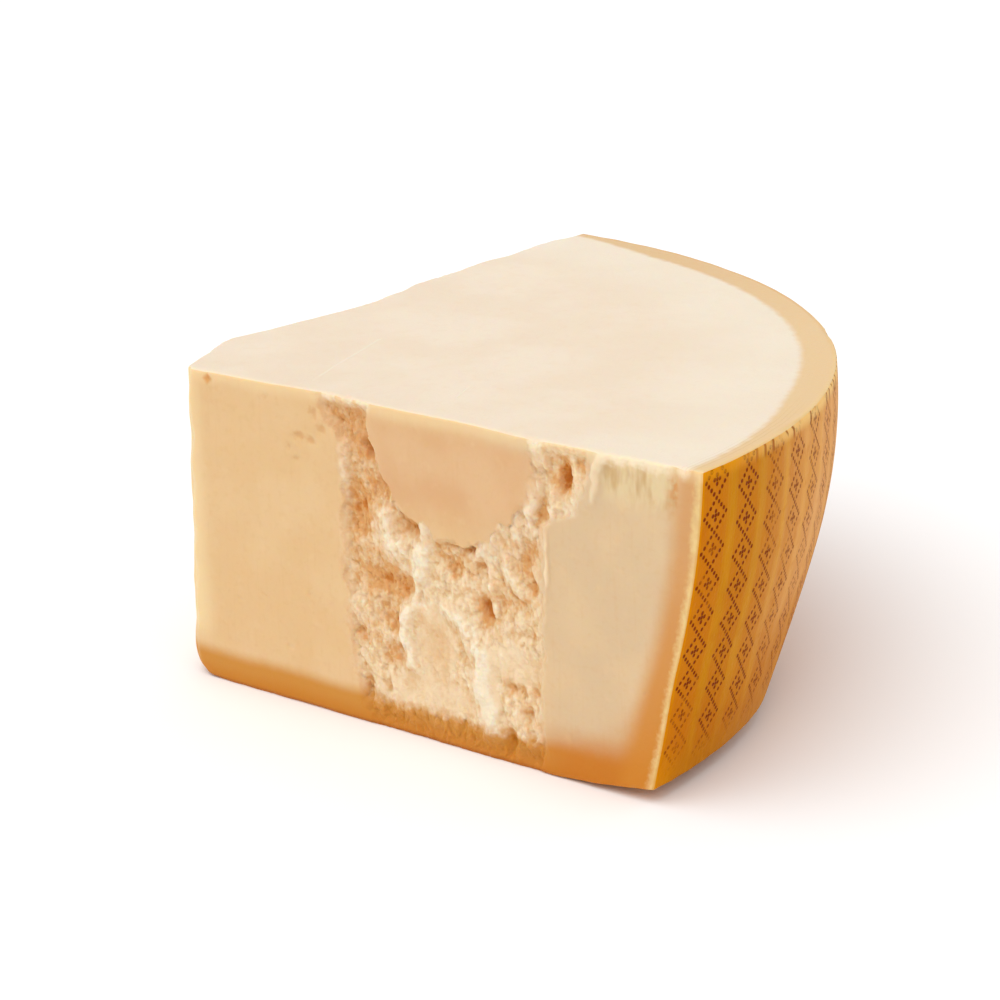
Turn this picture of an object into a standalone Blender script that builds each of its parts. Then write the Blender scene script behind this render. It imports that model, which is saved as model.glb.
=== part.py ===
"""A chunk of hard grating cheese: a quarter of a wheel, sawn to half the wheel's height.

The chunk keeps the rind round its outside and under its base. Its two upright sides were opened
with a short knife: the blade left flat panels, and between them the cheese broke into crags.
Lengths are in millimetres until the finished mesh is scaled to metres. While the block is shaped,
the wheel's axis is at x = 0, y = 0; X runs along the front side and Y along the back side.
"""
import math

import bmesh
import bpy
from mathutils import Vector, noise

for old_object in list(bpy.data.objects):
    bpy.data.objects.remove(old_object)

METRES = 0.001

# The half wheel: its height, and the barrel curve of its side
HEIGHT = 103.0
TOP_RADIUS = 215.6
BARREL_DROP = 22.9
BARREL_POWER = 1.81
FOOT_FLARE = 3.9
FOOT_HEIGHT = 40.0
FOOT_REACH = 35.3
FOOT_POWER = 1.3
FOOT_LOSS = 0.85
FOOT_LOSS_TURNS = (0.2, 0.38)

# The side isn't quite round: half way round the quarter it swells, and its top edge draws in
SWELL = 3.0
SWELL_TOP_LOSS = 0.9

# The base: flat in the middle, with its rim turned up a little
BASE_RADIUS = 198.5
BASE_FLAT_RADIUS = 150.0
RIM_LIFT = 4.7

# The two upright cuts: how far each passes from the wheel's axis, and how it wanders at the top
FRONT_LINE = ((18, -6.6), (49, -5.4), (70, -3.7), (103, -5.0), (127, -4.5), (157, -6.4), (215, -4.7))
BACK_LINE = ((25, 5.0), (45, 7.6), (66, 9.6), (89, 11.0), (106, 9.0), (121, 6.0), (142, 5.2), (157, 3.8),
             (173, 4.6), (195, 2.2), (215, 5.0))
FRONT_OFFSET = -4.7
BACK_OFFSET = 4.7

# The blunt tip: where its flat crosses each cut at the top, its lean and its rounded foot
TIP_ALONG_FRONT = 19.2
TIP_ALONG_BACK = 25.5
TIP_LEAN = 5.2
TIP_FOOT_RADIUS = 8.0

# Knife panels and crags of the front side. X and Z are measured along the cut. The crags lie
# between two upright limits and round a panel that hangs from the top edge.
FRONT_CRAGS = {
    "seed": 3.0,
    "left_limit": ((0, 90), (5, 87), (14, 83), (24, 81), (60, 79), (80, 79), (89, 77), (94, 72), (103, 70)),
    "right_limit": ((0, 160), (38, 160.5), (78, 161.5), (84, 174), (103, 180)),
    "panel_left": ((66, 121), (70, 112), (75, 104), (82, 96), (90, 94.5), (103, 94)),
    "panel_right": ((66, 133), (70, 138), (76, 147), (85, 155), (103, 157)),
    # across, up, half width, half height, depth
    "hollows": (
        (83, 97, 10, 5, 1.7),
        (91.5, 88, 2.2, 3, 3.8),
        (96, 78, 4, 4.5, 1.5),
        (107, 67, 4, 4, 2.0),
        (86, 67, 5, 11, 2.2),
        (97, 48, 10, 5, 2.5),
        (98, 36, 6, 4.5, 2.0),
        (101, 25, 5, 4, 1.4),
        (88, 11, 3.6, 5, 2.8),
        (124, 64, 4, 2, 1.8),
        (131, 64.5, 3, 2.4, 2.4),
        (124, 58.5, 4.5, 3, 2.2),
        (136, 58, 3, 3, 1.8),
        (137, 45.5, 2.6, 4, 3.0),
        (146.5, 51, 5, 3, 1.5),
        (153.5, 67, 2.8, 3.4, 1.8),
        (155, 57, 2.4, 4.4, 1.5),
        (159, 80, 2, 5, 1.6),
        (166.5, 92.5, 1.7, 3.8, 4.2),
        (175, 98, 4, 3, 1.2),
        (115, 32, 6, 11, 0.4),
        (147, 23.5, 4, 2.2, 1.4),
        (144.5, 6, 1.8, 4.5, 3.0),
    ),
    # height, half width, points
    "crests": (
        (1.4, 3.6, ((80.5, 87), (81, 79))),
        (1.9, 4.5, ((98, 68), (99, 61), (103, 58.5))),
        (2.3, 5.0, ((113, 72), (114.5, 65), (112, 56), (110, 50), (106.5, 41), (104.5, 35), (107, 24))),
        (1.8, 6.0, ((124, 44), (130, 37), (134, 31), (134, 22), (137.5, 15), (139, 8))),
        (1.6, 4.0, ((142, 73), (138, 66), (134, 62))),
        (1.5, 3.4, ((156.5, 88), (155, 81))),
        (1.4, 3.6, ((164, 87), (163.5, 80))),
    ),
    # across, up, half width, half height
    "shells": (
        (117, 30, 8, 13),
        (114, 14, 17, 7),
        (147, 31, 12, 6),
        (137, 18, 5, 11),
    ),
}

# The back side was opened in the same way, with its own breaks
BACK_CRAGS = {
    "seed": 41.0,
    "left_limit": ((0, 52), (38, 60), (82, 57), (103, 66)),
    "right_limit": ((0, 139), (30, 142), (82, 150), (103, 146)),
    "panel_left": ((58, 110), (76, 101), (90, 98), (103, 97)),
    "panel_right": ((58, 116), (70, 124), (90, 131), (103, 130)),
    "hollows": (
        (74, 88, 9, 7, 2.4),
        (70, 58, 7, 9, 2.6),
        (90, 70, 6, 5, 3.0),
        (84, 34, 11, 8, 3.2),
        (70, 12, 7, 6, 2.6),
        (113, 52, 8, 4, 4.0),
        (110, 24, 9, 8, 2.4),
        (131, 40, 6, 10, 2.4),
        (141, 84, 4, 7, 3.0),
        (127, 9, 6, 4, 2.6),
    ),
    "crests": (
        (2.8, 5.0, ((64, 76), (76, 70), (80, 60))),
        (3.2, 5.0, ((100, 84), (96, 62), (100, 46), (97, 28), (101, 12))),
        (2.6, 5.0, ((62, 44), (74, 42))),
        (2.6, 5.0, ((118, 44), (124, 62), (136, 68))),
        (2.4, 4.5, ((120, 30), (121, 10))),
    ),
    "shells": (
        (86, 18, 12, 9),
        (108, 36, 9, 9),
        (130, 24, 9, 12),
    ),
}

# How a broken surface behaves: its mean depth, its steps to the panels, and its leaning chips
CRAG_RECESS = 1.2
CRAG_PROUD = 1.6
CRAG_EDGE = 1.2
CRAG_EDGE_SLACK = 3.0
CHIP_SIZE = 4.6
CHIP_LEAN = 0.36
CHIP_STEP = 0.3
CHIP_SEED = 3.7
CHIP_STRETCH = 0.65
CHIP_SLANT = -0.25
SHELL_ROUGHNESS = 0.3
SHELL_RIM = (0.5, 1.3)
WANDER = 1.8
WANDER_SIZE = 11.0
SWELL_DEPTH = 0.8
SWELL_SIZE = 14.0
CUT_REACH = 26.0
TOP_CALM = 8.0
BASE_CALM = 6.0
EDGE_SHARE = 0.3

# The shell is laid out fine, then thinned where it is flat
SHELL_DIVISIONS = (120, 40, 68)
SOLID_TRIANGLES = 10400

NODE_NAME = "parmesan_chunk"
PASTE_COLOR = (0.80, 0.58, 0.30, 1.0)
PASTE_ROUGHNESS = 0.5


def ease(low, high, value):
    """Rise smoothly from 0 at low to 1 at high."""
    share = min(max((value - low) / (high - low), 0.0), 1.0)
    return share * share * (3.0 - 2.0 * share)


def line_height(points, position, soft=False):
    """Read a line through (position, height) points, eased between them where it is soft."""
    if position <= points[0][0]:
        return points[0][1]
    for (start, low), (end, high) in zip(points, points[1:]):
        if position <= end:
            share = (position - start) / (end - start)
            return low + (high - low) * (ease(0.0, 1.0, share) if soft else share)
    return points[-1][1]


def distance_to_run(across, up, points):
    """Distance from a place on a cut side to a run of straight lines."""
    nearest = math.inf
    for (ax, az), (bx, bz) in zip(points, points[1:]):
        length_squared = (bx - ax) ** 2 + (bz - az) ** 2
        share = ((across - ax) * (bx - ax) + (up - az) * (bz - az)) / length_squared
        share = min(max(share, 0.0), 1.0)
        gap = math.hypot(across - ax - share * (bx - ax), up - az - share * (bz - az))
        nearest = min(nearest, gap)
    return nearest


def barrel_radius(height, turn):
    """Radius of the rind at a height, turn of the way round from the front cut to the back cut."""
    below_top = 1.0 - height / HEIGHT
    flare = max(FOOT_HEIGHT - height, 0.0) / FOOT_REACH
    foot = FOOT_FLARE * flare ** FOOT_POWER
    foot *= 1.0 - FOOT_LOSS * ease(*FOOT_LOSS_TURNS, min(turn, 1.0 - turn))
    round_radius = TOP_RADIUS - BARREL_DROP * below_top ** BARREL_POWER + foot
    swell = SWELL * math.sin(math.pi * below_top) - SWELL_TOP_LOSS
    return round_radius + swell * math.sin(math.pi * turn)


def base_height(radius):
    """Height of the base at a radius: level, then lifted towards the rim."""
    return RIM_LIFT * (max(radius - BASE_FLAT_RADIUS, 0.0) / (BASE_RADIUS - BASE_FLAT_RADIUS)) ** 2


def reach_inside(crags, across, up):
    """How far a place lies inside the broken part of a cut side; below 0 on the knife's panels."""
    inside = min(across - line_height(crags["left_limit"], up),
                 line_height(crags["right_limit"], up) - across)
    outside_panel = max(line_height(crags["panel_left"], up) - across,
                        across - line_height(crags["panel_right"], up),
                        crags["panel_left"][0][0] - up)
    return min(inside, outside_panel)


def chip_depth(place):
    """Depth of the chip that a place lies on: each chip is flat and leans its own way."""
    centre = noise.voronoi(place / CHIP_SIZE)[1][0]
    lean = 2.0 * noise.cell_vector(centre * CHIP_SEED) - Vector((1.0, 1.0, 1.0))
    offset = place - centre * CHIP_SIZE
    return CHIP_LEAN * (lean.x * offset.x + lean.z * offset.z) + CHIP_STEP * lean.y


def crag_depth(crags, across, up):
    """Depth of a broken side behind its cut plane. Crests stand a little proud of it."""
    flat = Vector((across, crags["seed"], up))
    wander = noise.noise_vector(flat / WANDER_SIZE) * WANDER
    inside = reach_inside(crags, across + wander.x / 2, up + wander.z / 2)
    if inside <= 0.0:
        return 0.0
    slack = CRAG_EDGE_SLACK * max(noise.noise(flat / WANDER_SIZE), 0.0)
    share = ease(0.0, CRAG_EDGE + slack, inside)

    across += wander.x
    up += wander.z
    crest = 0.0
    for height, half_width, points in crags["crests"]:
        crest = max(crest, height * (1.0 - distance_to_run(across, up, points) / half_width))
    depth = CRAG_RECESS - crest + SWELL_DEPTH * noise.noise(flat / SWELL_SIZE)
    for centre_x, centre_z, half_width, half_height, hollow in crags["hollows"]:
        away = ((across - centre_x) / half_width) ** 2 + ((up - centre_z) / half_height) ** 2
        depth += hollow * math.exp(-away)

    rough = 1.0
    for centre_x, centre_z, half_width, half_height in crags["shells"]:
        away = ((across - centre_x) / half_width) ** 2 + ((up - centre_z) / half_height) ** 2
        rough = min(rough, SHELL_ROUGHNESS + (1.0 - SHELL_ROUGHNESS) * ease(*SHELL_RIM, away))
    slanted_up = CHIP_STRETCH * up - CHIP_SLANT * across
    depth += rough * chip_depth(Vector((across, crags["seed"], slanted_up)))
    from_edge = min(ease(0.0, TOP_CALM, HEIGHT - flat.z), ease(0.0, BASE_CALM, flat.z))
    return share * max(depth, -CRAG_PROUD) * (EDGE_SHARE + (1.0 - EDGE_SHARE) * from_edge)


def block_place(along, turn, rise):
    """Place a point of the unit block in the wedge.

    along runs from the tip to the rind, turn from the front cut to the back cut, rise from the
    base to the top.
    """
    side_height = RIM_LIFT + (HEIGHT - RIM_LIFT) * rise
    lean = TIP_LEAN * (1.0 - side_height / HEIGHT)
    foot = max(TIP_FOOT_RADIUS - HEIGHT * rise, 0.0)
    inset = TIP_FOOT_RADIUS - math.sqrt(TIP_FOOT_RADIUS ** 2 - foot ** 2) - lean
    front_tip = Vector((TIP_ALONG_FRONT + inset, FRONT_OFFSET))
    back_tip = Vector((BACK_OFFSET, TIP_ALONG_BACK + inset))
    tip = front_tip.lerp(back_tip, turn)

    radius = barrel_radius(side_height, turn)
    first_angle = math.asin(FRONT_OFFSET / radius)
    last_angle = math.acos(BACK_OFFSET / radius)
    angle = first_angle + (last_angle - first_angle) * turn
    rim = Vector((radius * math.cos(angle), radius * math.sin(angle)))

    plan = tip.lerp(rim, along)
    low = base_height(tip.lerp(rim, along).length)
    return Vector((plan.x, plan.y, low + (HEIGHT - low) * rise))


def cut_sides(place, turn):
    """Move a point of the wedge with the two cut sides: their wander and their crags."""
    from_front = max(place.y - FRONT_OFFSET, 0.0)
    from_back = max(place.x - BACK_OFFSET, 0.0)
    upper = place.z / HEIGHT
    moved = place.copy()
    if from_front < CUT_REACH and turn < 0.5:
        fade = (1.0 - from_front / CUT_REACH) ** 2
        wander = (line_height(FRONT_LINE, place.x, soft=True) - FRONT_OFFSET) * upper
        moved.y += fade * (wander + crag_depth(FRONT_CRAGS, place.x, place.z))
    if from_back < CUT_REACH and turn > 0.5:
        fade = (1.0 - from_back / CUT_REACH) ** 2
        wander = (line_height(BACK_LINE, place.y, soft=True) - BACK_OFFSET) * upper
        moved.x += fade * (wander + crag_depth(BACK_CRAGS, place.y, place.z))
    return moved


def divided_block(divisions):
    """A unit block whose six sides are laid out in a grid."""
    block = bmesh.new()
    bmesh.ops.create_cube(block, size=1.0)
    for axis, count in enumerate(divisions):
        runs = [edge for edge in block.edges
                if abs((edge.verts[1].co - edge.verts[0].co)[axis]) > 0.5]
        bmesh.ops.subdivide_edges(block, edges=runs, cuts=count - 1)
    bmesh.ops.translate(block, verts=block.verts, vec=(0.5, 0.5, 0.5))
    return block


def wedge_of_cheese():
    """The whole chunk, standing on its base with the middle of its footprint at the origin."""
    block = divided_block(SHELL_DIVISIONS)
    for vertex in block.verts:
        along, turn, rise = vertex.co
        vertex.co = cut_sides(block_place(along, turn, rise), turn)

    bmesh.ops.scale(block, verts=block.verts, vec=(METRES, METRES, METRES))
    xs = [vertex.co.x for vertex in block.verts]
    ys = [vertex.co.y for vertex in block.verts]
    middle = Vector(((min(xs) + max(xs)) / 2, (min(ys) + max(ys)) / 2, 0.0))
    bmesh.ops.translate(block, verts=block.verts, vec=-middle)

    bmesh.ops.triangulate(block, faces=block.faces)
    mesh = bpy.data.meshes.new(NODE_NAME)
    block.to_mesh(mesh)
    block.free()
    return mesh


def paste_material():
    """The pale yellow paste, which fills the whole solid."""
    paste = bpy.data.materials.new("parmesan_paste")
    paste.use_nodes = True
    shader = paste.node_tree.nodes["Principled BSDF"]
    shader.inputs["Base Color"].default_value = PASTE_COLOR
    shader.inputs["Roughness"].default_value = PASTE_ROUGHNESS
    shader.inputs["Metallic"].default_value = 0.0
    return paste


chunk_mesh = wedge_of_cheese()
chunk_mesh.materials.append(paste_material())
chunk = bpy.data.objects.new(NODE_NAME, chunk_mesh)
bpy.context.scene.collection.objects.link(chunk)

thinning = chunk.modifiers.new("thin flat stretches", "DECIMATE")
thinning.ratio = SOLID_TRIANGLES / len(chunk_mesh.polygons)
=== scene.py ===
"""A chunk of hard grating cheese, seen from above its front cut side, on a plain pale table.

The cheese is shaped in millimetres round the axis of the wheel that it was cut from, with X along
its front side and Y along its back side. The finished mesh is scaled to metres.
"""
import math
from types import SimpleNamespace

import bmesh
import bpy
from mathutils import Matrix, Vector, noise


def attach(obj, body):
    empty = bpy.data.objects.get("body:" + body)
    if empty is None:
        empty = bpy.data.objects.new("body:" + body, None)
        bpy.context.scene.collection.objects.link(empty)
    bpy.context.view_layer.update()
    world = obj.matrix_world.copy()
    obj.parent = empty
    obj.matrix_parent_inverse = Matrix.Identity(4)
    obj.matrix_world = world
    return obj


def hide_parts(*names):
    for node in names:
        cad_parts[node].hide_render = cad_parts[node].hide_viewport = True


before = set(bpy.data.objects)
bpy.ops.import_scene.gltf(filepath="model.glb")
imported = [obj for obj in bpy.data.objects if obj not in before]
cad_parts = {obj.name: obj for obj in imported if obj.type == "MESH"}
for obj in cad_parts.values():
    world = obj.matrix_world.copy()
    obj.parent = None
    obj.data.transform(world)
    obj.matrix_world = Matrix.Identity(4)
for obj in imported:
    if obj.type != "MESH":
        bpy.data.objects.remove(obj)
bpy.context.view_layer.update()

# The chunk of cheese
# A quarter of a pressed wheel of pale, grainy paste, sawn to half the wheel's height. Its outside
# and its base are rind: the same paste, dried hard and amber in the salt bath and on the shelf.
METRES = 0.001
HEIGHT = 103.0
TOP_RADIUS = 215.6
BARREL_DROP = 22.9
BARREL_POWER = 1.81
FOOT_FLARE = 3.9
FOOT_HEIGHT = 40.0
FOOT_REACH = 35.3
FOOT_POWER = 1.3
FOOT_LOSS = 0.85
FOOT_LOSS_TURNS = (0.2, 0.38)
SWELL = 3.0
SWELL_TOP_LOSS = 0.9
BASE_RADIUS = 198.5
BASE_FLAT_RADIUS = 150.0
RIM_LIFT = 4.7
# how the top edges of the cut sides wander: along the side, offset from the wheel's axis
FRONT_LINE = ((18, -6.6), (49, -5.4), (70, -3.7), (103, -5.0), (127, -4.5), (157, -6.4),
              (215, -4.7))
BACK_LINE = ((25, 5.0), (45, 7.6), (66, 9.6), (89, 11.0), (106, 9.0), (121, 6.0), (142, 5.2),
             (157, 3.8), (173, 4.6), (195, 2.2), (215, 5.0))
FRONT_OFFSET = -4.7
BACK_OFFSET = 4.7
TIP_ALONG_FRONT = 19.2
TIP_ALONG_BACK = 25.5
TIP_LEAN = 5.2
TIP_FOOT_RADIUS = 8.0
TIP_EDGE_RADIUS = 3.0
CUT_EDGE_RADIUS = 0.9
EDGE_WEAR = 0.7
EDGE_WEAR_SIZE = 7.0
# chips out of the front side's top edge: across, half width, what they add to the edge's wear
TOP_CHIPS = ((27, 2.0, 0.9), (77, 2.5, 1.2), (84, 2.2, 2.6), (91, 3.0, 1.0), (158, 2.4, 2.4),
             (209, 1.8, 1.8))
TOP_EDGE_RISE = 0.9


def ease(low, high, value):
    """Rise smoothly from 0 at low to 1 at high."""
    share = min(max((value - low) / (high - low), 0.0), 1.0)
    return share * share * (3.0 - 2.0 * share)


def line_height(points, position, soft=False):
    """Read a line through (position, height) points, eased between them where it is soft."""
    if position <= points[0][0]:
        return points[0][1]
    for (start, low), (end, high) in zip(points, points[1:]):
        if position <= end:
            share = (position - start) / (end - start)
            return low + (high - low) * (ease(0.0, 1.0, share) if soft else share)
    return points[-1][1]


def distance_to_run(across, up, points):
    """Distance from a place on a cut side to a run of straight lines."""
    nearest = math.inf
    for (ax, az), (bx, bz) in zip(points, points[1:]):
        length_squared = (bx - ax) ** 2 + (bz - az) ** 2
        share = ((across - ax) * (bx - ax) + (up - az) * (bz - az)) / length_squared
        share = min(max(share, 0.0), 1.0)
        gap = math.hypot(across - ax - share * (bx - ax), up - az - share * (bz - az))
        nearest = min(nearest, gap)
    return nearest


def barrel_radius(height, turn):
    """Radius of the rind at a height, turn of the way round from the front cut to the back cut."""
    below_top = 1.0 - height / HEIGHT
    flare = max(FOOT_HEIGHT - height, 0.0) / FOOT_REACH
    foot = FOOT_FLARE * flare ** FOOT_POWER
    foot *= 1.0 - FOOT_LOSS * ease(*FOOT_LOSS_TURNS, min(turn, 1.0 - turn))
    round_radius = TOP_RADIUS - BARREL_DROP * below_top ** BARREL_POWER + foot
    swell = SWELL * math.sin(math.pi * below_top) - SWELL_TOP_LOSS
    return round_radius + swell * math.sin(math.pi * turn)


def base_height(radius):
    """Height of the base at a radius: level, then lifted towards the rim."""
    return RIM_LIFT * (max(radius - BASE_FLAT_RADIUS, 0.0) / (BASE_RADIUS - BASE_FLAT_RADIUS)) ** 2


def worn_corner(first, second, radius):
    """How far a point moves in from two faces that meet in an edge, when the edge wears round."""
    first_reach = max(radius - first, 0.0)
    second_reach = max(radius - second, 0.0)
    length = math.hypot(first_reach, second_reach)
    if length == 0.0:
        return 0.0, 0.0
    loss = 1.0 - max(first_reach, second_reach) / length
    return first_reach * loss, second_reach * loss


def block_place(along, turn, rise):
    """Place a point of the unit block in the wedge: tip to rind, front to back, base to top."""
    side_height = RIM_LIFT + (HEIGHT - RIM_LIFT) * rise
    lean = TIP_LEAN * (1.0 - side_height / HEIGHT)
    foot = max(TIP_FOOT_RADIUS - HEIGHT * rise, 0.0)
    inset = TIP_FOOT_RADIUS - math.sqrt(TIP_FOOT_RADIUS ** 2 - foot ** 2) - lean
    front_tip = Vector((TIP_ALONG_FRONT + inset, FRONT_OFFSET))
    back_tip = Vector((BACK_OFFSET, TIP_ALONG_BACK + inset))
    tip = front_tip.lerp(back_tip, turn)

    radius = barrel_radius(side_height, turn)
    first_angle = math.asin(FRONT_OFFSET / radius)
    last_angle = math.acos(BACK_OFFSET / radius)
    angle = first_angle + (last_angle - first_angle) * turn
    rim = Vector((radius * math.cos(angle), radius * math.sin(angle)))

    plan = tip.lerp(rim, along)
    inward = (back_tip - front_tip).orthogonal().normalized() * -1.0
    from_tip = (plan - tip).dot(inward)
    from_rind = radius - plan.length
    outward = plan.normalized()
    from_front = plan.y - FRONT_OFFSET
    from_back = plan.x - BACK_OFFSET
    low = base_height(plan.length)
    height = low + (HEIGHT - low) * rise
    wear = 1.0 + EDGE_WEAR * noise.noise(Vector((plan.x, plan.y, height)) / EDGE_WEAR_SIZE)

    if rise > TOP_EDGE_RISE and from_front < from_back:
        for across, half_width, chip in TOP_CHIPS:
            wear += chip * math.exp(-((plan.x - across) / half_width) ** 2)

    for from_cut, cut_inward in ((from_front, Vector((0, 1))), (from_back, Vector((1, 0)))):
        off_cut, off_tip = worn_corner(from_cut, from_tip, TIP_EDGE_RADIUS * wear)
        plan += cut_inward * off_cut + inward * off_tip
        off_cut, off_rind = worn_corner(from_cut, from_rind, CUT_EDGE_RADIUS * wear)
        plan += cut_inward * off_cut - outward * off_rind

    gaps = ((from_front, Vector((0, 1))), (from_back, Vector((1, 0))),
            (from_tip, inward), (from_rind, -outward))
    nearest, side_inward = min(gaps, key=lambda gap: gap[0])
    off_side, off_top = worn_corner(nearest, HEIGHT - height, CUT_EDGE_RADIUS * wear)
    plan += side_inward * off_side
    height -= off_top
    off_side, off_base = worn_corner(nearest, height - low, CUT_EDGE_RADIUS * wear)
    plan += side_inward * off_side
    height += off_base
    return Vector((plan.x, plan.y, height))


# Its two upright sides were opened with a short knife, pushed in and twisted. Flat panels stay
# where the blade went, and between them the paste broke into ridges, hollows and leaning chips.
FRONT_CRAGS = {
    "seed": 3.0,
    # the edges of the broken part and of the panel that hangs into it: up, across
    "left_limit": ((0, 90), (5, 87), (14, 83), (24, 81), (60, 79), (80, 79), (89, 77), (94, 72),
                   (103, 70)),
    "right_limit": ((0, 160), (38, 160.5), (78, 161.5), (84, 174), (103, 180)),
    "panel_left": ((66, 121), (70, 112), (75, 104), (82, 96), (90, 94.5), (103, 94)),
    "panel_right": ((66, 133), (70, 138), (76, 147), (85, 155), (103, 157)),
    # dents in the broken part: across, up, half width, half height, depth
    "hollows": (
        (83, 97, 10, 5, 1.7),
        (91.5, 88, 2.2, 3, 3.8),
        (96, 78, 4, 4.5, 1.5),
        (107, 67, 4, 4, 2.0),
        (86, 67, 5, 11, 2.2),
        (97, 48, 10, 5, 2.5),
        (106, 45, 2.6, 3.4, 1.6),
        (98, 36, 6, 4.5, 2.0),
        (86.5, 29, 3.5, 2.6, 1.5),
        (101, 25, 5, 4, 1.4),
        (88, 11, 3.6, 5, 2.8),
        (97.5, 13, 1.2, 2.4, 1.4),
        (124, 64, 4, 2, 1.8),
        (131, 64.5, 3, 2.4, 2.4),
        (124, 58.5, 4.5, 3, 2.2),
        (136, 58, 3, 3, 1.8),
        (137, 45.5, 2.6, 4, 3.0),
        (146.5, 51, 5, 3, 1.5),
        (153.5, 67, 2.8, 3.4, 1.8),
        (155, 57, 2.4, 4.4, 1.5),
        (152, 41.5, 3, 2, 1.2),
        (159, 80, 2, 5, 1.6),
        (166.5, 92.5, 1.7, 3.8, 4.2),
        (162, 95, 3, 4, 1.2),
        (175, 98, 4, 3, 1.2),
        (115, 32, 6, 11, 0.4),
        (132, 29, 1.4, 4, 1.0),
        (147, 23.5, 4, 2.2, 1.4),
        (152.5, 15, 1.6, 3.4, 1.8),
        (144.5, 6, 1.8, 4.5, 3.0),
    ),
    # ridges that stand proud of it: height, half width, points
    "crests": (
        (1.4, 3.6, ((80.5, 87), (81, 79))),
        (1.9, 4.5, ((98, 68), (99, 61), (103, 58.5))),
        (2.3, 5.0, ((113, 72), (114.5, 65), (112, 56), (110, 50), (106.5, 41), (104.5, 35), (107, 24))),
        (1.8, 6.0, ((124, 44), (130, 37), (134, 31), (134, 22), (137.5, 15), (139, 8))),
        (1.6, 4.0, ((142, 73), (138, 66), (134, 62))),
        (1.5, 3.4, ((156.5, 88), (155, 81))),
        (1.4, 3.6, ((164, 87), (163.5, 80))),
        (1.4, 3.6, ((157.5, 103), (158.5, 96))),
        (1.1, 3.0, ((137, 63), (141, 50))),
        (1.1, 3.0, ((144, 67), (149, 54))),
        (1.1, 3.0, ((150, 73), (158, 60))),
    ),
    # smooth, leaning faces in it: across, up, half width, half height
    "shells": (
        (117, 30, 8, 13),
        (114, 14, 17, 7),
        (147, 31, 12, 6),
        (137, 18, 5, 11),
    ),
    # burrs that the blade raised on the panels: height, half width, points
    "burrs": (
        (0.8, 1.4, ((161.5, 78), (161.5, 62), (160.5, 45))),
        (1.0, 3.2, ((181.5, 103), (180, 96))),
        (0.7, 2.4, ((180, 98), (177.5, 87))),
    ),
    # nicks in the panels: across, up, half width, half height, depth
    "nicks": (
        (64, 88, 2.6, 1.5, 0.8),
        (60, 84, 1.4, 1.1, 0.5),
        (69, 87, 1.8, 1.3, 0.7),
        (73, 91, 2.0, 1.8, 0.8),
        (70, 96, 1.6, 2.0, 0.7),
        (63, 80, 1.4, 1.2, 0.6),
        (28, 101, 1.8, 1.2, 0.9),
        (52, 99, 1.0, 0.8, 0.5),
        (36, 29, 0.7, 0.6, 0.4),
        (48, 33, 0.8, 0.6, 0.4),
        (66, 37, 0.7, 0.7, 0.4),
        (57, 18, 0.9, 0.6, 0.4),
        (186, 70, 0.8, 0.6, 0.3),
        (196, 34, 0.7, 0.9, 0.3),
    ),
    # the strip beside the rind where the paste was scraped off in flutes: left, right, low
    "scrape": (181, 208, 88),
}
BACK_CRAGS = {
    "seed": 41.0,
    "left_limit": ((0, 52), (38, 60), (82, 57), (103, 66)),
    "right_limit": ((0, 139), (30, 142), (82, 150), (103, 146)),
    "panel_left": ((58, 110), (76, 101), (90, 98), (103, 97)),
    "panel_right": ((58, 116), (70, 124), (90, 131), (103, 130)),
    "hollows": (
        (74, 88, 9, 7, 2.4),
        (70, 58, 7, 9, 2.6),
        (90, 70, 6, 5, 3.0),
        (84, 34, 11, 8, 3.2),
        (70, 12, 7, 6, 2.6),
        (113, 52, 8, 4, 4.0),
        (110, 24, 9, 8, 2.4),
        (131, 40, 6, 10, 2.4),
        (141, 84, 4, 7, 3.0),
        (127, 9, 6, 4, 2.6),
    ),
    "crests": (
        (2.8, 5.0, ((64, 76), (76, 70), (80, 60))),
        (3.2, 5.0, ((100, 84), (96, 62), (100, 46), (97, 28), (101, 12))),
        (2.6, 5.0, ((62, 44), (74, 42))),
        (2.6, 5.0, ((118, 44), (124, 62), (136, 68))),
        (2.4, 4.5, ((120, 30), (121, 10))),
    ),
    "shells": (
        (86, 18, 12, 9),
        (108, 36, 9, 9),
        (130, 24, 9, 12),
    ),
    "burrs": (
        (0.9, 1.4, ((58, 70), (59, 40))),
    ),
    "nicks": (
        (44, 80, 1.6, 1.2, 0.8),
        (49, 91, 1.4, 1.0, 0.7),
        (170, 60, 1.0, 0.8, 0.5),
        (160, 90, 1.5, 1.1, 0.8),
    ),
    "scrape": (182, 207, 93),
}
CRAG_RECESS = 1.2
CRAG_PROUD = 1.6
LIMIT_EDGE = 4.5
PANEL_EDGE = 2.0
EDGE_SLACK = 1.2
# chips of the broken part: size, how steeply they lean, how much of that smooth shells keep
CHIP_SIZES = ((3.3, 0.22, 0.3), (1.7, 0.3, 0.15))
CHIP_STEP = 0.3
CHIP_SEED = 3.7
CHIP_STRETCH = 0.65
CHIP_SLANT = -0.25
CHIP_CREVICE = 0.08
CREVICE_WIDTH = 0.2
SHELL_ROUGHNESS = 0.12
SHELL_RIM = (0.5, 1.3)
WANDER = 1.8
WANDER_SIZE = 11.0
RAGGED = 0.8
RAGGED_SIZE = 3.6
RIDGE_DEPTH = 0.5
RIDGE_SIZE = 8.0
RIDGE_LEVEL = 1.2
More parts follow.
